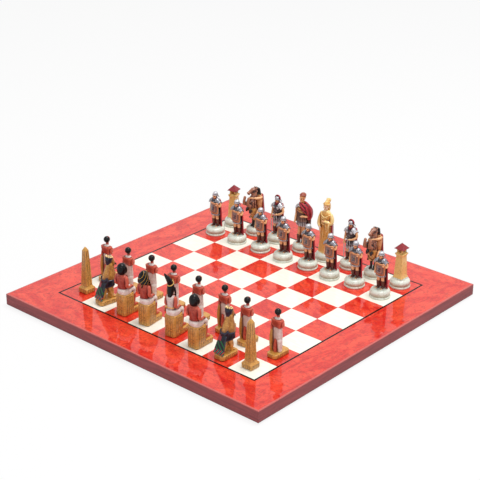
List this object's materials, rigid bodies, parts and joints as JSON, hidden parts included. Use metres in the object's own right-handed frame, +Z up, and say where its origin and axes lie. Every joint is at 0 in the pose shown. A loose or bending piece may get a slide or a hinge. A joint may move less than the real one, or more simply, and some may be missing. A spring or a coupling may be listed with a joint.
{
  "type": "chess set",
  "caption": "Chess set with figure chessmen of two ancient armies on a flat veneered board; every chessman stands loose and lifts off its square.",
  "frame": {"origin": "middle of the board's underside", "axes": "+Z up out of the board; the near army, on the low-Y side, looks along +Y and the far army along -Y"},
  "size_m": [0.4, 0.4, 0.0986],
  "materials": {
    "core_board": "plain",
    "felt": "matt",
    "dusty_red_edge": "satin lacquer",
    "red_veneer": "high gloss burl",
    "light_veneer": "high gloss",
    "black_line": "high gloss",
    "ochre_cast_resin": "hand painted, satin",
    "painted_cast_resin": "hand painted, satin"
  },
  "bodies": {
    "board": {"board_core": "core_board", "base_felt": "felt", "edge_lipping_front": "dusty_red_edge", "edge_lipping_right": "dusty_red_edge", "edge_lipping_back": "dusty_red_edge", "edge_lipping_left": "dusty_red_edge", "border_veneer_front": "red_veneer", "border_veneer_right": "red_veneer", "border_veneer_back": "red_veneer", "border_veneer_left": "red_veneer", "stringing": "black_line", "red_squares": "red_veneer", "light_squares": "light_veneer"},
    "egypt_rook_a1": {"egypt_rook_a1": "ochre_cast_resin"},
    "egypt_knight_b1": {"egypt_knight_b1": "ochre_cast_resin"},
    "egypt_bishop_c1": {"egypt_bishop_c1": "ochre_cast_resin"},
    "egypt_king_d1": {"egypt_king_d1": "ochre_cast_resin"},
    "egypt_queen_e1": {"egypt_queen_e1": "ochre_cast_resin"},
    "egypt_bishop_f1": {"egypt_bishop_f1": "ochre_cast_resin"},
    "egypt_knight_g1": {"egypt_knight_g1": "ochre_cast_resin"},
    "egypt_rook_h1": {"egypt_rook_h1": "ochre_cast_resin"},
    "egypt_pawn_a2": {"egypt_pawn_a2": "ochre_cast_resin"},
    "egypt_pawn_b2": {"egypt_pawn_b2": "ochre_cast_resin"},
    "egypt_pawn_c2": {"egypt_pawn_c2": "ochre_cast_resin"},
    "egypt_pawn_d2": {"egypt_pawn_d2": "ochre_cast_resin"},
    "egypt_pawn_e2": {"egypt_pawn_e2": "ochre_cast_resin"},
    "egypt_pawn_f2": {"egypt_pawn_f2": "ochre_cast_resin"},
    "egypt_pawn_g2": {"egypt_pawn_g2": "ochre_cast_resin"},
    "egypt_pawn_h2": {"egypt_pawn_h2": "ochre_cast_resin"},
    "roman_pawn_a7": {"roman_pawn_a7": "painted_cast_resin"},
    "roman_pawn_b7": {"roman_pawn_b7": "painted_cast_resin"},
    "roman_pawn_c7": {"roman_pawn_c7": "painted_cast_resin"},
    "roman_pawn_d7": {"roman_pawn_d7": "painted_cast_resin"},
    "roman_pawn_e7": {"roman_pawn_e7": "painted_cast_resin"},
    "roman_pawn_f7": {"roman_pawn_f7": "painted_cast_resin"},
    "roman_pawn_g7": {"roman_pawn_g7": "painted_cast_resin"},
    "roman_pawn_h7": {"roman_pawn_h7": "painted_cast_resin"},
    "roman_rook_a8": {"roman_rook_a8": "painted_cast_resin"},
    "roman_knight_b8": {"roman_knight_b8": "painted_cast_resin"},
    "roman_bishop_c8": {"roman_bishop_c8": "painted_cast_resin"},
    "roman_king_d8": {"roman_king_d8": "painted_cast_resin"},
    "roman_queen_e8": {"roman_queen_e8": "painted_cast_resin"},
    "roman_bishop_f8": {"roman_bishop_f8": "painted_cast_resin"},
    "roman_knight_g8": {"roman_knight_g8": "painted_cast_resin"},
    "roman_rook_h8": {"roman_rook_h8": "painted_cast_resin"}
  },
  "joints": [
    {"name": "lift_egypt_rook_a1", "type": "slide", "parent": "board", "child": "egypt_rook_a1", "axis": [0, 0, 1], "range_m": [0, 0.09]},
    {"name": "lift_egypt_knight_b1", "type": "slide", "parent": "board", "child": "egypt_knight_b1", "axis": [0, 0, 1], "range_m": [0, 0.09]},
    {"name": "lift_egypt_bishop_c1", "type": "slide", "parent": "board", "child": "egypt_bishop_c1", "axis": [0, 0, 1], "range_m": [0, 0.09]},
    {"name": "lift_egypt_king_d1", "type": "slide", "parent": "board", "child": "egypt_king_d1", "axis": [0, 0, 1], "range_m": [0, 0.09]},
    {"name": "lift_egypt_queen_e1", "type": "slide", "parent": "board", "child": "egypt_queen_e1", "axis": [0, 0, 1], "range_m": [0, 0.09]},
    {"name": "lift_egypt_bishop_f1", "type": "slide", "parent": "board", "child": "egypt_bishop_f1", "axis": [0, 0, 1], "range_m": [0, 0.09]},
    {"name": "lift_egypt_knight_g1", "type": "slide", "parent": "board", "child": "egypt_knight_g1", "axis": [0, 0, 1], "range_m": [0, 0.09]},
    {"name": "lift_egypt_rook_h1", "type": "slide", "parent": "board", "child": "egypt_rook_h1", "axis": [0, 0, 1], "range_m": [0, 0.09]},
    {"name": "lift_egypt_pawn_a2", "type": "slide", "parent": "board", "child": "egypt_pawn_a2", "axis": [0, 0, 1], "range_m": [0, 0.09]},
    {"name": "lift_egypt_pawn_b2", "type": "slide", "parent": "board", "child": "egypt_pawn_b2", "axis": [0, 0, 1], "range_m": [0, 0.09]},
    {"name": "lift_egypt_pawn_c2", "type": "slide", "parent": "board", "child": "egypt_pawn_c2", "axis": [0, 0, 1], "range_m": [0, 0.09]},
    {"name": "lift_egypt_pawn_d2", "type": "slide", "parent": "board", "child": "egypt_pawn_d2", "axis": [0, 0, 1], "range_m": [0, 0.09]},
    {"name": "lift_egypt_pawn_e2", "type": "slide", "parent": "board", "child": "egypt_pawn_e2", "axis": [0, 0, 1], "range_m": [0, 0.09]},
    {"name": "lift_egypt_pawn_f2", "type": "slide", "parent": "board", "child": "egypt_pawn_f2", "axis": [0, 0, 1], "range_m": [0, 0.09]},
    {"name": "lift_egypt_pawn_g2", "type": "slide", "parent": "board", "child": "egypt_pawn_g2", "axis": [0, 0, 1], "range_m": [0, 0.09]},
    {"name": "lift_egypt_pawn_h2", "type": "slide", "parent": "board", "child": "egypt_pawn_h2", "axis": [0, 0, 1], "range_m": [0, 0.09]},
    {"name": "lift_roman_pawn_a7", "type": "slide", "parent": "board", "child": "roman_pawn_a7", "axis": [0, 0, 1], "range_m": [0, 0.09]},
    {"name": "lift_roman_pawn_b7", "type": "slide", "parent": "board", "child": "roman_pawn_b7", "axis": [0, 0, 1], "range_m": [0, 0.09]},
    {"name": "lift_roman_pawn_c7", "type": "slide", "parent": "board", "child": "roman_pawn_c7", "axis": [0, 0, 1], "range_m": [0, 0.09]},
    {"name": "lift_roman_pawn_d7", "type": "slide", "parent": "board", "child": "roman_pawn_d7", "axis": [0, 0, 1], "range_m": [0, 0.09]},
    {"name": "lift_roman_pawn_e7", "type": "slide", "parent": "board", "child": "roman_pawn_e7", "axis": [0, 0, 1], "range_m": [0, 0.09]},
    {"name": "lift_roman_pawn_f7", "type": "slide", "parent": "board", "child": "roman_pawn_f7", "axis": [0, 0, 1], "range_m": [0, 0.09]},
    {"name": "lift_roman_pawn_g7", "type": "slide", "parent": "board", "child": "roman_pawn_g7", "axis": [0, 0, 1], "range_m": [0, 0.09]},
    {"name": "lift_roman_pawn_h7", "type": "slide", "parent": "board", "child": "roman_pawn_h7", "axis": [0, 0, 1], "range_m": [0, 0.09]},
    {"name": "lift_roman_rook_a8", "type": "slide", "parent": "board", "child": "roman_rook_a8", "axis": [0, 0, 1], "range_m": [0, 0.09]},
    {"name": "lift_roman_knight_b8", "type": "slide", "parent": "board", "child": "roman_knight_b8", "axis": [0, 0, 1], "range_m": [0, 0.09]},
    {"name": "lift_roman_bishop_c8", "type": "slide", "parent": "board", "child": "roman_bishop_c8", "axis": [0, 0, 1], "range_m": [0, 0.09]},
    {"name": "lift_roman_king_d8", "type": "slide", "parent": "board", "child": "roman_king_d8", "axis": [0, 0, 1], "range_m": [0, 0.09]},
    {"name": "lift_roman_queen_e8", "type": "slide", "parent": "board", "child": "roman_queen_e8", "axis": [0, 0, 1], "range_m": [0, 0.09]},
    {"name": "lift_roman_bishop_f8", "type": "slide", "parent": "board", "child": "roman_bishop_f8", "axis": [0, 0, 1], "range_m": [0, 0.09]},
    {"name": "lift_roman_knight_g8", "type": "slide", "parent": "board", "child": "roman_knight_g8", "axis": [0, 0, 1], "range_m": [0, 0.09]},
    {"name": "lift_roman_rook_h8", "type": "slide", "parent": "board", "child": "roman_rook_h8", "axis": [0, 0, 1], "range_m": [0, 0.09]}
  ]
}
